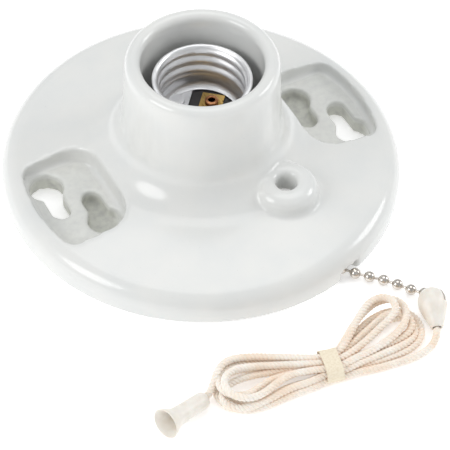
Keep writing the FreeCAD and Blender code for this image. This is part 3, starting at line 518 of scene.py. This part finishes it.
def band_paper():
    """Thin uncoated paper: matt cream, clouded by its fibres about 0.6 mm long, faintly creased."""
    surface, tree = new_surface("uncoated_band_paper")
    place = add_node(tree, "ShaderNodeTexCoord")
    fibre = add_node(tree, "ShaderNodeTexNoise", None, Vector=(place, "Object"), Scale=1700.0, Detail=5.0)
    crease = add_node(tree, "ShaderNodeTexNoise", None, Vector=(place, "Object"), Scale=260.0, Detail=2.0)
    colour = ramp(tree, (fibre, "Fac"), (0.3, "#E7D9BF"), (0.62, settings().paper_colour))
    soft = add_node(tree, "ShaderNodeBump", None, Height=(crease, "Fac"), Strength=0.35, Distance=0.0006)
    bump = add_node(tree, "ShaderNodeBump", None, Height=(fibre, "Fac"), Strength=0.2, Distance=0.00005,
                    Normal=(soft, 0))
    shader = add_node(tree, "ShaderNodeBsdfPrincipled", None, Base_Color=(colour, "Color"), Roughness=0.75,
                      Normal=(bump, 0), Specular_IOR_Level=0.3)
    close_surface(tree, shader)
    return surface


def sweep_board():
    """A smooth white studio board."""
    surface, tree = new_surface("white_studio_board")
    place = add_node(tree, "ShaderNodeTexCoord")
    grain = add_node(tree, "ShaderNodeTexNoise", None, Vector=(place, "Object"), Scale=40.0, Detail=3.0)
    colour = ramp(tree, (grain, "Fac"), (0.3, "#F7F7F7"), (0.7, "#FCFCFC"))
    shader = add_node(tree, "ShaderNodeBsdfPrincipled", None, Base_Color=(colour, "Color"), Roughness=0.85,
                      Specular_IOR_Level=0.1, Emission_Color=(1, 1, 1, 1), Emission_Strength=0.32)
    close_surface(tree, shader)
    return surface


SURFACES = {}


def surface(name):
    """Each surface is made once, when a piece first needs it."""
    if name not in SURFACES:
        SURFACES[name] = SURFACE_MAKERS[name]()
    return SURFACES[name]


SURFACE_MAKERS = {
    "porcelain": glazed_porcelain,
    # Spun aluminium, bright where the thread rolls polished it.
    "aluminium": lambda: metal("spun_aluminium", "#F6F6F7", "#ECECED", 0.38, 3.0, 0.03, (1, 1, 6)),
    # Woodflour-filled phenolic, black with a dull moulded skin.
    "phenolic": lambda: moulding("moulded_phenolic", "#2A2728", "#1B191A", 0.42, 1.6, 1.6),
    # Rolled cartridge brass, tarnished a little between brighter patches.
    "brass": lambda: metal("rolled_brass_strip", "#C9A869", "#9C8049", 0.32, 4.0, 0.08, (4, 1, 1)),
    # Clinched brass tube, its rim coppery where it was worked.
    "eyelet": lambda: metal("clinched_brass_eyelet", "#C08A63", "#8C5F42", 0.28, 1.5),
    # Bright zinc over pressed steel, spangled about every 2 mm.
    "zinc": lambda: metal("zinc_plated_steel", "#C4C7CC", "#A5A9AF", 0.34, 2.0),
    # Oil-tempered wire, dark and smooth.
    "spring": lambda: metal("oil_tempered_spring_wire", "#6F7176", "#4F5156", 0.30, 1.5),
    # Nickel-plated beads, close to a mirror.
    "nickel": lambda: metal("bright_nickel_plate", "#D9D3CC", "#C4BDB5", 0.10, 1.2, 0.03),
    # Injection-moulded polyethylene, waxy and slightly see-through at its edges.
    "ivory": lambda: moulding("ivory_polyethylene", settings().ivory_colour, "#E6DFD4", 0.34, 3.0, 1.5, 0.10,
                              0.20),
    "cotton": laid_cotton,
    "paper": band_paper,
    "board": sweep_board,
}

# The CAD nodes whose shape is kept, by surface.
KEPT_NODES = {
    "aluminium": ("shell_rivets",),
    "phenolic": ("socket_base", "switch_housing", "switch_cover", "rotor_drum"),
    "brass": ("centre_contact", "rotor_contact", "line_terminal", "neutral_terminal", "neutral_strap",
              "line_brush", "lamp_brush", "line_screw"),
    "zinc": ("assembly_screws", "assembly_nuts", "rotor_shaft", "ratchet_wheel", "pull_lever", "drive_pawl"),
    "spring": ("return_spring",),
    "nickel": ("neutral_screw",),
}


# ---- operators, one for each piece or group of like pieces --------------------------------------
class LAMPHOLDER_OT_body(bpy.types.Operator):
    """Glaze the porcelain body: soften its edges, let the surface wander and press lumps into the pads"""
    bl_idname = "lampholder.body"
    bl_label = "Porcelain body"

    def execute(self, context):
        sizes = settings()
        piece = merged_copy("porcelain_body", "glazed_body")
        add_modifier(piece, "REMESH", mode="VOXEL", voxel_size=sizes.glaze_cell, adaptivity=0.0)
        add_modifier(piece, "SMOOTH", factor=0.5, iterations=5)
        places = np.empty(len(piece.data.vertices) * 3)
        piece.data.vertices.foreach_get("co", places)
        x, y, z = (places.reshape(-1, 3) / MM).T
        inside = np.minimum.reduce([np.abs(x) - 29.6, 51.2 - np.hypot(x, y), 16.2 - np.abs(y)])
        depth = np.clip(inside / 1.6, 0, 1)
        floor = (z > 5.2) & (z < 7.6)
        # The pad floors' weight: lumps are pressed into them, and the colour mask greys them with painted shade.
        dry_and_shaded = np.where(floor, depth, 0) * np.clip((7.2 - z) / 0.9, 0, 1) * 0.35
        for name, weights in (("pads", dry_and_shaded), ("all", np.ones_like(dry_and_shaded))):
            group = piece.vertex_groups.new(name=name)
            for step in range(1, 11):
                chosen = np.nonzero(np.round(weights * 10) == step)[0]
                if len(chosen):
                    group.add(chosen.tolist(), step / 10, "REPLACE")
        for name, size, height in (("pads", 0.0042, sizes.pad_lumps), ("all", 0.016, sizes.glaze_wave)):
            cloud = bpy.data.textures.new(name + "_cloud", "CLOUDS")
            cloud.noise_scale, cloud.noise_depth = size, 2
            add_modifier(piece, "DISPLACE", texture=cloud, strength=height, mid_level=0.5,
                         vertex_group=name, texture_coords="LOCAL")
        # Colour mask: painted shade on the recessed pad floors, and unglazed grey below them.
        bare = piece.data.attributes.new("bare", "FLOAT", "POINT")
        below = np.clip((5.2 - z) / 1.2, 0, 1) * np.clip(inside - 0.4, 0, 1)
        bare.data.foreach_set("value", np.maximum(dry_and_shaded, 0.85 * below).astype(np.float32))
        piece.vertex_groups.clear()
        finish_piece(piece, "glazed_body", "root", "porcelain", surface("porcelain"), "porcelain_body")
        return {"FINISHED"}


class LAMPHOLDER_OT_shell(bpy.types.Operator):
    """Draw the screw shell with its rolled thread, turned-out lip and part floor"""
    bl_idname = "lampholder.shell"
    bl_label = "Screw shell"

    def execute(self, context):
        pitch = settings().thread_pitch / MM
        rise = np.arange(SHELL_FLOOR + 2.9, SHELL_TOP - 1.0, 0.3)
        profile = [(10.6, SHELL_FLOOR + 0.12), (11.1, SHELL_FLOOR + 0.25), (11.6, SHELL_FLOOR + 0.7),
                   (12.0, SHELL_FLOOR + 1.4), (12.25, SHELL_FLOOR + 2.2)]
        profile += [(SHELL_MINOR, float(z)) for z in rise]
        profile += [(SHELL_MAJOR - 0.1, SHELL_TOP - 0.75), (SHELL_MAJOR, SHELL_TOP - 0.35),
                    (SHELL_MAJOR + 0.25, SHELL_TOP - 0.08), (SHELL_LIP - 0.35, SHELL_TOP),
                    (SHELL_LIP - 0.08, SHELL_TOP - 0.1), (SHELL_LIP, SHELL_TOP - 0.35),
                    (SHELL_LIP - 0.1, SHELL_TOP - 0.6)]
        wall = turned("thin_wall", profile, 144)
        # The thread climbs as it goes round, which rings cannot do, so each point is pushed out by its
        # own height and turn.
        for vertex in wall.data.vertices:
            x, y, z = vertex.co / MM
            if z > SHELL_TOP - 0.9 or z < SHELL_FLOOR + 2.5:
                continue
            phase = (z - THREAD_CREST) / pitch - (math.atan2(y, x) - THREAD_START) / (2 * math.pi)
            low = min(1.0, max(0.0, (z - THREAD_LOW) / 1.4))
            wave = 0.5 - 0.5 * math.cos(2 * math.pi * phase)
            swell = (SHELL_MAJOR - SHELL_MINOR) * wave * low * low * (3 - 2 * low)
            near_lip = min(1.0, max(0.0, (z - (SHELL_TOP - 1.4)) / 0.6))
            swell += (SHELL_MAJOR - SHELL_MINOR - swell) * near_lip
            out = (SHELL_MINOR + swell) / math.hypot(x, y)
            vertex.co = Vector((x * out, y * out, z)) * MM
        floors = []
        for side, offset in ((-1, FLOOR_CUTS[0]), (1, FLOOR_CUTS[1])):
            bpy.ops.object.select_all(action="DESELECT")
            bpy.ops.mesh.primitive_circle_add(vertices=96, radius=(SHELL_MINOR + 0.1) * MM, fill_type="NGON",
                                              location=(0, 0, (SHELL_FLOOR + SHELL_SHEET) * MM))
            floor = bpy.context.object
            settle(floor)
            across = Vector((math.sin(math.radians(SOCKET_TURN)), -math.cos(math.radians(SOCKET_TURN)), 0))
            edit(floor)
            bpy.ops.mesh.select_all(action="SELECT")
            bpy.ops.mesh.bisect(plane_co=across * offset * MM, plane_no=across * side, clear_inner=True)
            bpy.ops.object.mode_set(mode="OBJECT")
            add_modifier(floor, "SOLIDIFY", thickness=SHELL_SHEET * MM, offset=-1.0)
            add_modifier(floor, "BEVEL", width=0.12 * MM, segments=2)
            floors.append(floor)
        add_modifier(wall, "SOLIDIFY", thickness=SHELL_SHEET * MM, offset=1.0)
        piece = join("drawn_shell", [wall] + floors)
        finish_piece(piece, "drawn_shell", "root", "aluminium", surface("aluminium"), "screw_shell", angle=50)
        return {"FINISHED"}


class LAMPHOLDER_OT_eyelet(bpy.types.Operator):
    """Roll the hollow eyelet that holds the contact strip"""
    bl_idname = "lampholder.eyelet"
    bl_label = "Contact eyelet"

    def execute(self, context):
        low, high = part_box("contact_eyelet")
        foot, top = low.z / MM, high.z / MM
        profile = [(0.85, foot), (2.0, foot), (2.0, foot + 0.25), (1.2, foot + 0.3), (1.2, top - 0.62),
                   (1.9, top - 0.60), (2.02, top - 0.42), (1.88, top - 0.2), (1.5, top - 0.02), (1.1, top - 0.04),
                   (0.88, top - 0.3), (0.85, top - 0.9), (0.85, foot)]
        piece = turned("rolled_eyelet", profile, 40, closed=True)
        add_modifier(piece, "SUBSURF", levels=1, render_levels=1)
        middle = (low + high) / 2
        put(piece, at=Vector((middle.x, middle.y, 0)))
        finish_piece(piece, "rolled_eyelet", "root", "brass_eyelet", surface("eyelet"), "contact_eyelet", angle=60)
        return {"FINISHED"}


class LAMPHOLDER_OT_chain(bpy.types.Operator):
    """Crimp the hollow beads on their wire links, from the lever to the connector"""
    bl_idname = "lampholder.chain"
    bl_label = "Bead chain"

    def bead(self, radius):
        """One bead: a folded cup with a hole at each end and the seam where its edges meet."""
        select_only(None)
        bpy.ops.mesh.primitive_uv_sphere_add(segments=28, ring_count=16, radius=radius)
        piece = bpy.context.object
        edit(piece)
        pick_faces(piece, lambda centre, normal: abs(centre.z) > radius * 0.965)
        bpy.ops.mesh.inset(thickness=radius * 0.05)
        bpy.ops.mesh.extrude_region_shrink_fatten(TRANSFORM_OT_shrink_fatten={"value": -radius * 0.22})
        pick_faces(piece, lambda centre, normal: abs(math.atan2(centre.y, centre.x) - 0.11) < 0.08
                   and abs(centre.z) < radius * 0.9 and centre.length > radius * 0.9)
        bpy.ops.mesh.inset(thickness=radius * 0.03)
        bpy.ops.mesh.extrude_region_shrink_fatten(TRANSFORM_OT_shrink_fatten={"value": -radius * 0.07})
        bpy.ops.object.mode_set(mode="OBJECT")
        return piece

    def link(self, length, radius):
        """One wire link, waisted between the beads and headed inside them."""
        half = length / 2 / MM
        wire = radius / MM
        upper = [(wire * 1.5, half - 0.95), (wire * 1.5, half - 1.2), (wire, half - 1.5),
                 (wire, (half - 1.5) * 0.7), (wire * 0.95, (half - 1.5) * 0.4), (wire * 0.9, (half - 1.5) * 0.15)]
        return turned("wire_link", [(0, -half + 0.9)] + [(r, -z) for r, z in upper] + upper[::-1]
                      + [(0, half - 0.9)], 14)

    def execute(self, context):
        sizes = settings()
        ahead = Vector((math.cos(CHAIN_HEADING), math.sin(CHAIN_HEADING), 0))
        inside = [CHAIN_RIM - ahead * back for back in (CHAIN_INSIDE, 40.0, 20.0, 5.0)]
        places = line_points("chain_line", [tuple(p) for p in inside] + [tuple(CHAIN_RIM)] + list(CHAIN_OUTSIDE))
        length = line_length(places)
        count = int((length - COUPLING * MM) / sizes.bead_pitch) + 2
        spots = [length - sizes.bead_pitch * i for i in range(count - 1)][::-1]
        spots = [max(0.0, spots[0] - COUPLING * MM)] + spots
        centres = [Vector(p) for p in walk(places, spots)]
        pattern = self.bead(sizes.bead_radius)
        beads = []
        for number, centre in enumerate(centres):
            back = centres[max(number - 1, 0)]
            onward = centres[min(number + 1, count - 1)]
            twin = copy_of(pattern, "bead")
            spin = Matrix.Rotation(2.4 * number, 4, "Z")
            twin.data.transform(spin)
            put(twin, along_axis(onward - back), centre)
            beads.append(twin)
        bpy.data.objects.remove(pattern)
        links = []
        for start, end in zip(centres, centres[1:]):
            rod = self.link((end - start).length, 0.00042)
            put(rod, along_axis(end - start), (start + end) / 2)
            links.append(rod)
        chain = join("bead_chain", beads + links)
        finish_piece(chain, "bead_chain", "pull_cord", "nickel", surface("nickel"), "chain_beads", "chain_links",
                     angle=35)
        context.scene["chain_line"] = places.ravel().tolist()
        return {"FINISHED"}


class LAMPHOLDER_OT_connector(bpy.types.Operator):
    """Mould the tapered connector that joins the chain to the cord"""
    bl_idname = "lampholder.connector"
    bl_label = "Cord connector"

    def execute(self, context):
        profile = [(0, 0), (1.2, 0.12), (2.5, 0.75), (3.5, 1.9), (4.0, 3.4), (4.1, 4.9), (3.95, 6.2),
                   (3.5, 7.9), (2.9, 9.6), (2.3, 11.2), (1.95, 12.3), (1.8, 12.8), (1.55, 13.0), (1.15, 12.9),
                   (1.1, 12.0), (1.3, 10.4), (2.1, 8.4), (3.0, 6.4), (3.2, 4.6), (2.7, 2.6), (1.5, 1.2), (0, 0.9)]
        piece = turned("moulded_connector", [(r, z * BELL_LENGTH / 13.0) for r, z in profile], 48)
        add_modifier(piece, "SUBSURF", levels=1, render_levels=1)
        apex = (BELL_EXIT - BELL_AXIS * BELL_LENGTH) * MM
        # A long slit lets the bead in past the wall; it opens on the side away from the chain.
        select_only(None)
        bpy.ops.mesh.primitive_cube_add(size=1, location=(0, 0.0042, 0.0034), scale=(0.0009, 0.004, 0.0036))
        slit = bpy.context.object
        settle(slit)
        add_modifier(slit, "BEVEL", width=0.0004, segments=3)
        put(slit, Matrix.Rotation(math.radians(-69), 3, "Z").to_quaternion())
        for part in (piece, slit):
            put(part, along_axis(BELL_AXIS), apex)
        last, before = Vector(CHAIN_OUTSIDE[-1]) * MM, Vector(CHAIN_OUTSIDE[-2]) * MM
        select_only(None)
        bpy.ops.mesh.primitive_uv_sphere_add(segments=32, ring_count=16, radius=0.00172, location=last)
        seat = bpy.context.object
        settle(seat)
        for cutter in (slit, seat):
            add_modifier(piece, "BOOLEAN", operation="DIFFERENCE", object=cutter, solver="EXACT")
            bpy.data.objects.remove(cutter)
        if (before - last).length > 0.006:
            raise RuntimeError("the chain's last beads are too far apart to clip in the connector")
        finish_piece(piece, "moulded_connector", "pull_cord", "ivory_plastic", surface("ivory"),
                     "cord_connector", angle=40)
        return {"FINISHED"}


class LAMPHOLDER_OT_pull(bpy.types.Operator):
    """Mould the hollow pull and tie the knot that holds it"""
    bl_idname = "lampholder.pull"
    bl_label = "Pull and knot"

    def execute(self, context):
        profile = [(1.18, 0.1), (1.5, 0), (2.0, 0.14), (2.3, 0.6), (2.42, 1.7), (2.46, 3.5), (2.5, 6.0),
                   (2.55, 9.0), (2.65, 10.9), (3.0, 12.0), (3.6, 13.2), (4.12, 14.4), (4.3, 14.8), (4.3, 15.0),
                   (4.05, 15.02), (3.5, 14.3), (2.85, 13.2), (2.3, 11.8), (2.15, 9.0), (2.02, 6.0),
                   (1.9, 4.6), (1.3, 4.1), (1.18, 3.6), (1.18, 0.1)]
        knob = turned("moulded_pull", profile, 48, closed=True)
        add_modifier(knob, "SUBSURF", levels=1, render_levels=1)
        put(knob, along_axis(KNOB_AXIS), KNOB_NECK * MM)
        finish_piece(knob, "moulded_pull", "pull_cord", "ivory_plastic", surface("ivory"), "pull_knob", angle=50)
        # A thumb knot: the cord's end goes once round itself.
        loop = [(0, 0, -1.9), (0.1, 0.5, -1.1), (1.15, 0.35, -0.3), (0.5, -1.1, 0.2), (-0.95, -0.6, 0.4),
                (-0.8, 0.9, 0.1), (0.5, 1.0, -0.35), (0.9, -0.2, 0.5), (-0.1, -0.4, 1.1), (0.1, 0.1, 1.9)]
        knot = tube_mesh("thumb_knot", [line_points("knot_line", loop)], 0.62 * MM, 10)
        put(knot, along_axis(KNOB_AXIS), (KNOB_NECK + KNOB_AXIS * 6.1) * MM)
        finish_piece(knot, "thumb_knot", "pull_cord", "cotton", surface("cotton"), "end_knot")
        return {"FINISHED"}


class LAMPHOLDER_OT_band(bpy.types.Operator):
    """Wrap the paper band round the middle of the hank"""
    bl_idname = "lampholder.band"
    bl_label = "Paper band"

    def execute(self, context):
        select_only(None)
        bpy.ops.mesh.primitive_cube_add(size=1, location=(0, -0.0002, 0.0027), scale=(0.0050, 0.0100, 0.0052))
        band = bpy.context.object
        settle(band)
        edit(band)
        pick_faces(band, lambda centre, normal: abs(normal.x) > 0.5)
        bpy.ops.mesh.delete(type="FACE")
        bpy.ops.mesh.select_mode(type="EDGE")
        bpy.ops.mesh.select_all(action="SELECT")
        bpy.ops.object.mode_set(mode="OBJECT")
        for edge in band.data.edges:
            a, b = (band.data.vertices[i].co for i in edge.vertices)
            edge.select = abs(a.x - b.x) > 0.001
        bpy.ops.object.mode_set(mode="EDIT")
        bpy.ops.mesh.bevel(offset=0.0023, segments=6, profile=0.45)
        bpy.ops.mesh.select_all(action="SELECT")
        bpy.ops.mesh.subdivide(number_cuts=5)
        bpy.ops.object.mode_set(mode="OBJECT")
        cloud = bpy.data.textures.new("crumple", "CLOUDS")
        cloud.noise_scale, cloud.noise_depth = 0.0024, 1
        add_modifier(band, "SMOOTH", factor=0.4, iterations=2)
        add_modifier(band, "DISPLACE", texture=cloud, strength=0.00035, mid_level=0.5, texture_coords="LOCAL")
        add_modifier(band, "SOLIDIFY", thickness=0.00014, offset=0.0)
        put(band, Matrix.Rotation(TIE_TURN, 3, "Z").to_quaternion(), TIE_AT * MM)
        finish_piece(band, "paper_band", "pull_cord", "paper", surface("paper"), "cord_tie", angle=40)
        return {"FINISHED"}


class LAMPHOLDER_OT_cord(bpy.types.Operator):
    """Lay the twisted cord from the connector, round its hank and into the pull"""
    bl_idname = "lampholder.cord"
    bl_label = "Pull cord"

    def slot(self, number):
        """Where a run goes through the band: a point on each side of it."""
        across, height = SLOTS[number]
        run = Vector((math.cos(TIE_TURN), math.sin(TIE_TURN), 0))
        middle = TIE_AT + Vector((-run.y, run.x, 0)) * across + Vector((0, 0, height))
        return [tuple(middle + run * half) for half in (2.4, -2.4)]

    def route(self):
        """The lead, five turns that go left under the band and come back over, and the tail."""
        points = list(LEAD) + self.slot(0)
        for turn, (left, right) in enumerate(zip(LEFT_LOOPS, RIGHT_LOOPS)):
            points += list(left) + self.slot(2 * turn + 1)[::-1]
            points += list(right) + self.slot(2 * turn + 2)
        return points + list(TAIL)

    def execute(self, context):
        sizes = settings()
        line = line_points("cord_line", self.route())
        length = line_length(line)
        even = walk(line, np.arange(0, length, 0.00034))
        _, side, rise = frames_along(even)
        gone = np.arange(len(even)) * 0.00034
        strand_r = sizes.cord_diameter * 0.262
        centre_r = sizes.cord_diameter / 2 - strand_r
        lines = []
        for strand in range(sizes.cord_strands):
            turn = 2 * math.pi * (gone / sizes.cord_lay + strand / sizes.cord_strands)
            lines.append(even + centre_r * (np.cos(turn)[:, None] * side + np.sin(turn)[:, None] * rise))
        cord = tube_mesh("laid_cord", lines, strand_r, 8)
        finish_piece(cord, "laid_cord", "pull_cord", "cotton", surface("cotton"), "cord_lead", "cord_hank",
                     "cord_tail")
        del context.scene["chain_line"]
        return {"FINISHED"}


class LAMPHOLDER_OT_kept_parts(bpy.types.Operator):
    """Give each carried-over part its finish"""
    bl_idname = "lampholder.kept_parts"
    bl_label = "Kept parts"

    def execute(self, context):
        for name, nodes in KEPT_NODES.items():
            for node in nodes:
                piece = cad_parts[node]
                piece.data.materials.clear()
                piece.data.materials.append(surface(name))
        return {"FINISHED"}


class LAMPHOLDER_OT_stage(bpy.types.Operator):
    """Set the white board, the soft lights and the camera"""
    bl_idname = "lampholder.stage"
    bl_label = "Stage, lights and camera"

    def execute(self, context):
        scene = context.scene
        select_only(None)
        bpy.ops.mesh.primitive_plane_add(size=6.0, location=(0, 0, -0.0002))
        board = bpy.context.object
        settle(board)
        board.name = board.data.name = "studio_board"
        board.data.materials.append(surface("board"))
        lights = (("overhead", (0.15, 0.25, 1.1), 0.9, 3.0), ("left_box", (-0.95, -0.05, 0.6), 0.6, 4.1),
                  ("right_box", (0.95, -0.25, 0.55), 0.5, 3.2))
        for name, place, size, power in lights:
            bpy.ops.object.light_add(type="AREA", location=place)
            lamp = bpy.context.object
            lamp.name = name
            lamp.data.shape = "DISK"
            lamp.data.size = size
            lamp.data.energy = power
            lamp.rotation_euler = (-Vector(place)).to_track_quat("-Z", "Y").to_euler()
        world = bpy.data.worlds.new("white_room")
        world.use_nodes = True
        world.node_tree.nodes["Background"].inputs["Color"].default_value = linear("#F4F6F8")
        world.node_tree.nodes["Background"].inputs["Strength"].default_value = 0.66
        scene.world = world
        scene.view_settings.view_transform = "Standard"
        data = bpy.data.cameras.new("viewpoint")
        data.sensor_width, data.lens = 36.0, 208.0
        camera = bpy.data.objects.new("viewpoint", data)
        camera.location = (-0.24120, -0.45644, 0.54586)
        camera.rotation_euler = tuple(math.radians(a) for a in (42.2521, -0.8714, -27.6973))
        scene.collection.objects.link(camera)
        scene.camera = camera
        return {"FINISHED"}


class LAMPHOLDER_PT_panel(bpy.types.Panel):
    """Sizes, colours and the steps that make the lampholder"""
    bl_idname = "LAMPHOLDER_PT_panel"
    bl_label = "Lampholder"
    bl_space_type = "VIEW_3D"
    bl_region_type = "UI"
    bl_category = "Lampholder"

    def draw(self, context):
        for name in LampholderSettings.__annotations__:
            self.layout.prop(context.scene.lampholder, name)
        for step in STEPS:
            self.layout.operator(step.bl_idname)


STEPS = (LAMPHOLDER_OT_stage, LAMPHOLDER_OT_kept_parts, LAMPHOLDER_OT_body, LAMPHOLDER_OT_shell,
         LAMPHOLDER_OT_eyelet, LAMPHOLDER_OT_chain, LAMPHOLDER_OT_connector, LAMPHOLDER_OT_pull,
         LAMPHOLDER_OT_band, LAMPHOLDER_OT_cord)
CLASSES = (LampholderSettings,) + STEPS + (LAMPHOLDER_PT_panel,)


def register():
    for cls in CLASSES:
        bpy.utils.register_class(cls)
    bpy.types.Scene.lampholder = PointerProperty(type=LampholderSettings)


def unregister():
    del bpy.types.Scene.lampholder
    for cls in reversed(CLASSES):
        bpy.utils.unregister_class(cls)


def main():
    register()
    bpy.ops.lampholder.stage()
    bpy.ops.lampholder.kept_parts()
    bpy.ops.lampholder.body()
    bpy.ops.lampholder.shell()
    bpy.ops.lampholder.eyelet()
    bpy.ops.lampholder.chain()
    bpy.ops.lampholder.connector()
    bpy.ops.lampholder.pull()
    bpy.ops.lampholder.band()
    bpy.ops.lampholder.cord()


if __name__ == "__main__":
    main()
